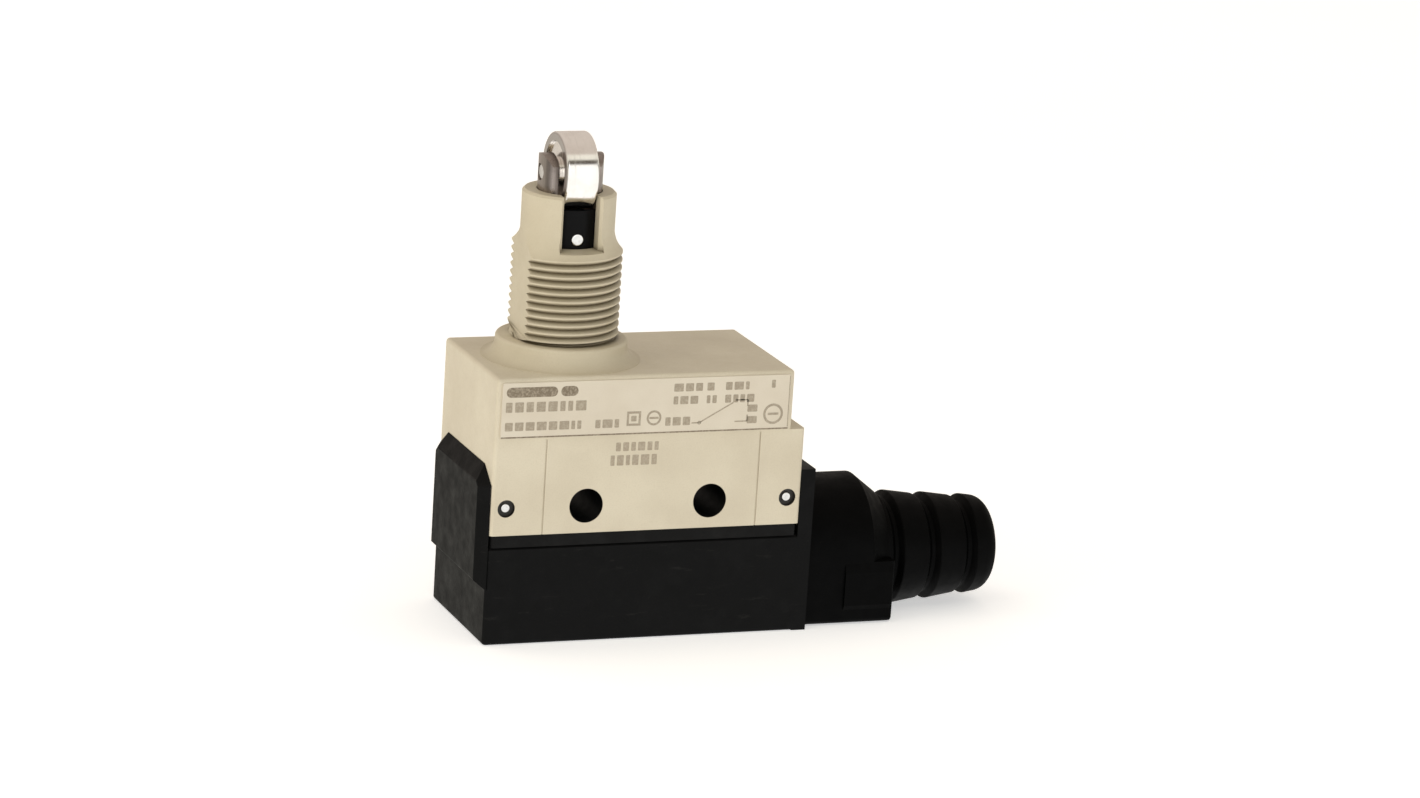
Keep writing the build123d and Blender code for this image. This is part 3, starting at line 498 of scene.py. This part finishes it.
class Print:
    """Flat marks on an upright face, gathered into one mesh.

    The face's own place is in metres, and everything on it is in millimetres."""

    def __init__(self, name, face_y, shade):
        self.name = name
        self.shade = shade
        self.back = face_y + print_root
        self.front = face_y - print_thickness
        self.work = bmesh.new()

    def outline(self, points):
        """One flat mark with the given corners, anticlockwise seen from the front."""
        front = [self.work.verts.new((x * MM, self.front, z * MM)) for x, z in points]
        back = [self.work.verts.new((x * MM, self.back, z * MM)) for x, z in points]
        self.work.faces.new(front)
        self.work.faces.new(back[::-1])
        count = len(points)
        for index in range(count):
            after = (index + 1) % count
            self.work.faces.new((front[index], back[index], back[after], front[after]))

    def bar(self, left, right, bottom, top, rounding):
        """Bar with rounded corners."""
        rounding = min(rounding, (right - left) / 2, (top - bottom) / 2)
        corners = (
            (right - rounding, bottom + rounding, -90),
            (right - rounding, top - rounding, 0),
            (left + rounding, top - rounding, 90),
            (left + rounding, bottom + rounding, 180),
        )
        points = []
        for x, z, start in corners:
            for step in range(corner_steps + 1):
                angle = math.radians(start + 90 * step / corner_steps)
                points.append((x + rounding * math.cos(angle), z + rounding * math.sin(angle)))
        self.outline(points)

    def line(self, start, end, width):
        """Straight stroke between two points."""
        along = Vector(end) - Vector(start)
        side = Vector((-along.y, along.x)).normalized() * width / 2
        ends = (Vector(start) - side, Vector(end) - side, Vector(end) + side, Vector(start) + side)
        self.outline([tuple(point) for point in ends])

    def closed_band(self, outer, inner):
        """One closed loop of print between two outlines that have as many corners."""
        loops = []
        for points, y in ((outer, self.front), (inner, self.front), (inner, self.back), (outer, self.back)):
            loops.append([self.work.verts.new((x * MM, y, z * MM)) for x, z in points])
        for first, second in zip(loops, loops[1:] + loops[:1]):
            for index in range(len(outer)):
                after = (index + 1) % len(outer)
                self.work.faces.new((first[index], first[after], second[after], second[index]))

    def ring(self, centre, radius, width, steps=28):
        """Round outline."""
        angles = [2 * math.pi * step / steps for step in range(steps)]
        outlines = []
        for reach in (radius, radius - width):
            outlines.append([(centre[0] + reach * math.cos(angle), centre[1] + reach * math.sin(angle))
                             for angle in angles])
        self.closed_band(*outlines)

    def square(self, left, right, bottom, top, width):
        """Square outline."""
        outlines = []
        for inset in (0, width):
            outlines.append([(left + inset, bottom + inset), (right - inset, bottom + inset),
                             (right - inset, top - inset), (left + inset, top - inset)])
        self.closed_band(*outlines)

    def dashes(self, left, right, bottom, top, seed, widths=(0.45, 1.3), gap=0.28):
        """Row of plain blocks of uneven width, where small print would be."""
        draw = random.Random(seed)
        x = left
        while x + widths[0] < right:
            width = min(draw.uniform(*widths), right - x)
            self.bar(x, x + width, bottom, top, block_rounding)
            x += width + gap

    def finish(self):
        """The marks as a piece of the housing."""
        bmesh.ops.recalc_face_normals(self.work, faces=self.work.faces)
        mesh = bpy.data.meshes.new(self.name)
        self.work.to_mesh(mesh)
        self.work.free()
        new_piece(self.name, mesh, ink(self.name + "_ink", self.shade), "housing", "plate")


def plate_heading_and_lower_shadow():
    """Dark marks on the plate: a painted shadow along its lower edge, and a printed plain bar with a tail.
    """
    marks = Print("plate_heading_and_lower_shadow", plate_low.y, heading_ink_and_lower_shadow)
    # Painted shadow: a dark strip along the plate's lower edge.
    marks.bar(plate_left + 0.05, plate_right - 0.05, plate_bottom + 0.04, plate_bottom + 0.22, 0.05)
    for start, end in ((0.5, 7.0), (7.4, 9.6)):
        marks.bar(plate_left + start, plate_left + end, plate_top - 1.8, plate_top - 0.55, 0.6)
    marks.finish()


def plate_print_and_right_shade():
    """Pale marks on the plate: a painted shade line along its right edge, and printed rows of blocks, three
    symbols and a diagram.

    Places are measured from the plate's left edge, and from its lower or upper edge."""
    left = plate_left
    right = plate_right
    bottom = plate_bottom
    top = plate_top
    marks = Print("plate_print_and_right_shade", plate_low.y, plate_ink_and_edge_shade)
    # Painted shade: a darker line along the plate's right edge.
    marks.bar(right - 0.18, right - 0.06, bottom + 0.3, top - 0.14, 0.05)
    # Second line
    marks.dashes(left + 0.5, left + 11.6, top - 3.65, top - 2.4, seed=3, widths=(0.6, 1.5), gap=0.35)
    # Row along the bottom, with a square and a round symbol in it
    for start, end, seed in ((0.5, 10.2, 5), (12.0, 15.2, 8), (21.0, 24.2, 13)):
        marks.dashes(left + start, left + end, bottom + 0.95, bottom + 2.0, seed=seed)
    marks.square(left + 16.0, left + 17.8, bottom + 1.1, bottom + 2.9, 0.28)
    marks.bar(left + 16.55, left + 17.25, bottom + 1.65, bottom + 2.35, 0.1)
    marks.ring((left + 19.5, bottom + 2.0), 0.95, 0.26)
    marks.bar(left + 18.9, left + 20.1, bottom + 1.87, bottom + 2.13, 0.05)
    # Changeover contact: the common on the left, its blade, and two fixed contacts on the right
    stroke = 0.16
    common = (left + 25.4, bottom + 1.2)
    strokes = (
        ((-1.0, 0.0), (0.0, 0.0)),
        ((0.0, 0.0), (4.3, 2.4)),
        ((4.6, 0.0), (6.2, 0.0)),
        ((4.6, 2.7), (6.2, 2.7)),
        ((6.2, 0.0), (6.2, 0.8)),
        ((6.2, 1.9), (6.2, 2.7)),
    )
    for start, end in strokes:
        marks.line((common[0] + start[0], common[1] + start[1]), (common[0] + end[0], common[1] + end[1]),
                   stroke)
    marks.ring(common, 0.24, 0.12, steps=14)
    # Two rows of ratings at the top right, and a short mark beside them
    for row in range(2):
        low = top - 1.7 - 1.6 * row
        for start, end, seed in ((21.9, 25.6, 20), (26.2, 27.6, 30), (28.6, 32.4, 40)):
            marks.dashes(left + start, left + end, low, low + 1.0, seed=seed + row)
    marks.bar(left + 34.6, left + 35.1, top - 1.6, top - 0.6, 0.1)
    # Right of the diagram: a mark for each fixed contact, and a plain round symbol
    for row in range(2):
        low = bottom + 0.9 + 1.45 * row
        marks.bar(left + 31.6, left + 32.9, low, low + 0.9, 0.12)
    marks.ring((left + 35.0, bottom + 2.0), 1.3, 0.3)
    marks.bar(left + 34.3, left + 35.7, bottom + 1.85, bottom + 2.15, 0.05)
    marks.finish()


def case_marks():
    """Two short lines of small print on the case, under the plate."""
    marks = Print("case_marks", case_low.y, case_ink)
    marks.dashes(-4.6, 0.9, plate_bottom - 2.1, plate_bottom - 1.0, seed=51, widths=(0.5, 1.0), gap=0.3)
    marks.dashes(-5.2, 1.2, plate_bottom - 3.9, plate_bottom - 2.6, seed=57, widths=(0.5, 1.1), gap=0.3)
    marks.finish()


plate_heading_and_lower_shadow()
plate_print_and_right_shade()
case_marks()


# ---------------------------------------------------------------- floor, light and camera
floor_reach = 6.0
floor_height = -0.03 * MM

camera_azimuth = math.radians(-21.5)
camera_elevation = math.radians(14.5)
camera_roll = math.radians(3.7)
camera_distance = 619.3 * MM
camera_target = (11.29, 0.0, 27.29)
camera_lens = 126.76
camera_sensor = 36.0

lamp_aim = (0.012, 0.0, 0.028)


def pale_floor():
    """Wide pale table that glows a little. Glossy surfaces mirror the surroundings in its place."""
    mesh = bpy.data.meshes.new("floor")
    corners = [(x * floor_reach, y * floor_reach, floor_height)
               for x, y in ((-1, -1), (1, -1), (1, 1), (-1, 1))]
    mesh.from_pydata(corners, [], [(0, 1, 2, 3)])
    floor = bpy.data.objects.new("floor", mesh)
    bpy.context.scene.collection.objects.link(floor)
    finish = Finish("floor_white", Specular_IOR_Level=0.2, Emission_Color=(1.0, 1.0, 1.0, 1.0),
                    Emission_Strength=0.48)
    tone = finish.between(finish.noise(6.0, 3.0), 0.0, 1.0, *BODY)
    finish.set("Base Color", finish.blend(tone, (0.86, 0.86, 0.85), (0.9, 0.9, 0.89)))
    finish.set("Roughness", finish.between(finish.noise(40.0, 2.0), 0.7, 0.8))
    mesh.materials.append(finish.material)
    floor.visible_glossy = False


def sky():
    """Studio surroundings in bands across an axis that leans back, bright to dark to bright.

    They are lit low in front, then a dark gap, a lit strip, and warm grey overhead and behind."""
    leaning_axis = (0.0, 0.6, 0.8)
    strength = 0.66
    front = (1.75, 1.75, 1.72)
    gap = (0.12, 0.1, 0.08)
    strip = (1.35, 1.32, 1.18)
    overhead = (0.9, 0.8, 0.71)
    behind = (0.96, 0.86, 0.77)
    stops = (
        (0.0, front),
        (0.43, front),
        (0.46, gap),
        (0.535, gap),
        (0.57, strip),
        (0.66, strip),
        (0.71, overhead),
        (1.0, behind),
    )
    world = bpy.data.worlds.new("studio")
    world.use_nodes = True
    tree = world.node_tree
    background = tree.nodes["Background"]
    space = tree.nodes.new("ShaderNodeTexCoord")
    lean = tree.nodes.new("ShaderNodeVectorMath")
    lean.operation = "DOT_PRODUCT"
    lean.inputs[1].default_value = leaning_axis
    tree.links.new(space.outputs["Generated"], lean.inputs[0])
    share = tree.nodes.new("ShaderNodeMapRange")
    share.inputs["From Min"].default_value = -1.0
    tree.links.new(lean.outputs["Value"], share.inputs["Value"])
    ramp = tree.nodes.new("ShaderNodeValToRGB")
    tree.links.new(share.outputs["Result"], ramp.inputs["Fac"])
    tree.links.new(ramp.outputs["Color"], background.inputs["Color"])
    ramp.color_ramp.elements[0].position = stops[0][0]
    ramp.color_ramp.elements[1].position = stops[-1][0]
    for position, _ in stops[1:-1]:
        ramp.color_ramp.elements.new(position)
    for element, (_, colour) in zip(ramp.color_ramp.elements, stops):
        element.color = (*colour, 1.0)
    background.inputs["Strength"].default_value = strength
    bpy.context.scene.world = world


def softbox(name, place, width, height, power, colour, mirrored):
    """Rectangular area light that faces the switch, seen in mirror-like surfaces or not."""
    lamp = bpy.data.lights.new(name, "AREA")
    lamp.shape = "RECTANGLE"
    lamp.size = width
    lamp.size_y = height
    lamp.energy = power
    lamp.color = colour
    light = bpy.data.objects.new(name, lamp)
    light.visible_glossy = mirrored
    bpy.context.scene.collection.objects.link(light)
    light.location = place
    light.rotation_euler = (Vector(lamp_aim) - Vector(place)).to_track_quat("-Z", "Y").to_euler()


def lights():
    """Key from the front, fill from the left, and a soft light from above, behind on the left."""
    softbox("key", (-0.1, -0.72, 0.3), 0.4, 0.4, 0.35, (1.0, 0.985, 0.97), mirrored=True)
    softbox("fill", (-0.66, -0.2, 0.2), 0.4, 0.5, 1.2, (1.0, 0.95, 0.84), mirrored=False)
    softbox("top", (-0.3, 0.25, 0.62), 0.4, 0.4, 0.4, (1.0, 0.98, 0.94), mirrored=False)


def camera():
    """Camera low to the front left, turned a little about its own axis."""
    target = Vector(camera_target) * MM
    back = Vector((
        math.sin(camera_azimuth) * math.cos(camera_elevation),
        -math.cos(camera_azimuth) * math.cos(camera_elevation),
        math.sin(camera_elevation),
    ))
    right = (-back).cross(Vector((0, 0, 1))).normalized()
    up = right.cross(-back)
    turned_right = math.cos(camera_roll) * right + math.sin(camera_roll) * up
    turned_up = -math.sin(camera_roll) * right + math.cos(camera_roll) * up
    data = bpy.data.cameras.new("camera")
    data.sensor_width = camera_sensor
    data.lens = camera_lens
    data.clip_start = 0.01
    data.clip_end = 20.0
    view = bpy.data.objects.new("camera", data)
    bpy.context.scene.collection.objects.link(view)
    rotation = Matrix((turned_right, turned_up, back)).transposed()
    view.matrix_world = Matrix.Translation(target + camera_distance * back) @ rotation.to_4x4()
    bpy.context.scene.camera = view


pale_floor()
sky()
lights()
camera()
bpy.context.scene.view_settings.view_transform = "Standard"
